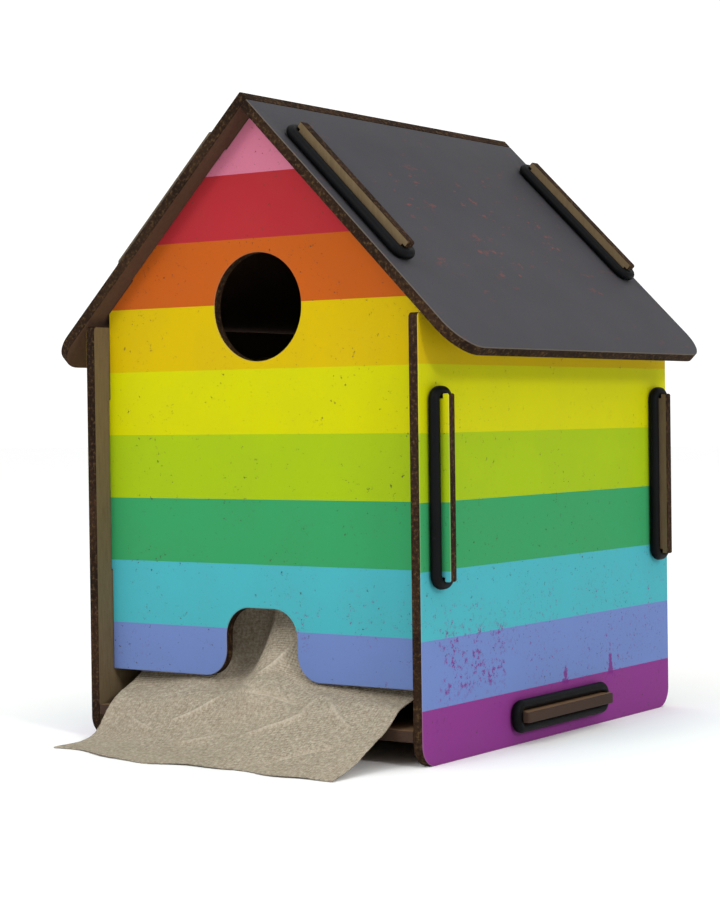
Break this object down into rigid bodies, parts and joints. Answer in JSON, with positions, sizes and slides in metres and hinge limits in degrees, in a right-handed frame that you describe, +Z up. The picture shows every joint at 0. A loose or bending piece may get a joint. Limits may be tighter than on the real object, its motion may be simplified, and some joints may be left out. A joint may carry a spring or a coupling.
{
  "type": "birdhouse paper dispenser",
  "caption": "Birdhouse-shaped paper dispenser of thin boards plugged together and held by rubber rings, with a loose paper roll inside and its tail coming out at the front.",
  "frame": {"origin": "on the ground, midway between the left and right eaves and midway between the free edge of the paper tail and the back of the house", "axes": "+X to the right seen from the front, +Y from the front panel to the back panel, +Z up"},
  "size_m": [0.1428, 0.168, 0.18],
  "materials": {
    "front_board": "printed rainbow stripes, slightly weathered; brown fibreboard edges",
    "back_board": "printed rainbow stripes, slightly weathered; brown fibreboard edges",
    "side_board": "printed rainbow stripes, slightly weathered; brown fibreboard edges",
    "roof_board": "printed dark grey, slightly scratched; brown fibreboard edges",
    "floor_board": "plain brown fibreboard",
    "ring_rubber": "matt black",
    "tissue": "unbleached recycled tissue, embossed",
    "core_card": "grey-brown card"
  },
  "bodies": {
    "house": {"front_panel": "front_board", "back_panel": "back_board", "left_side_panel": "side_board", "right_side_panel": "side_board", "left_roof_panel": "roof_board", "right_roof_panel": "roof_board", "floor_panel": "floor_board", "front_left_ring": "ring_rubber", "front_right_ring": "ring_rubber", "back_left_ring": "ring_rubber", "back_right_ring": "ring_rubber", "floor_left_ring": "ring_rubber", "floor_right_ring": "ring_rubber", "roof_front_left_ring": "ring_rubber", "roof_front_right_ring": "ring_rubber", "roof_back_left_ring": "ring_rubber", "roof_back_right_ring": "ring_rubber", "paper_sheet": "tissue"},
    "roll": {"paper_roll": "tissue", "roll_core": "core_card"}
  },
  "joints": [
    {"name": "roll_turn", "type": "hinge", "parent": "house", "child": "roll", "pos_m": [0, 0.014, 0.0598], "axis": [1, 0, 0], "continuous": true}
  ]
}
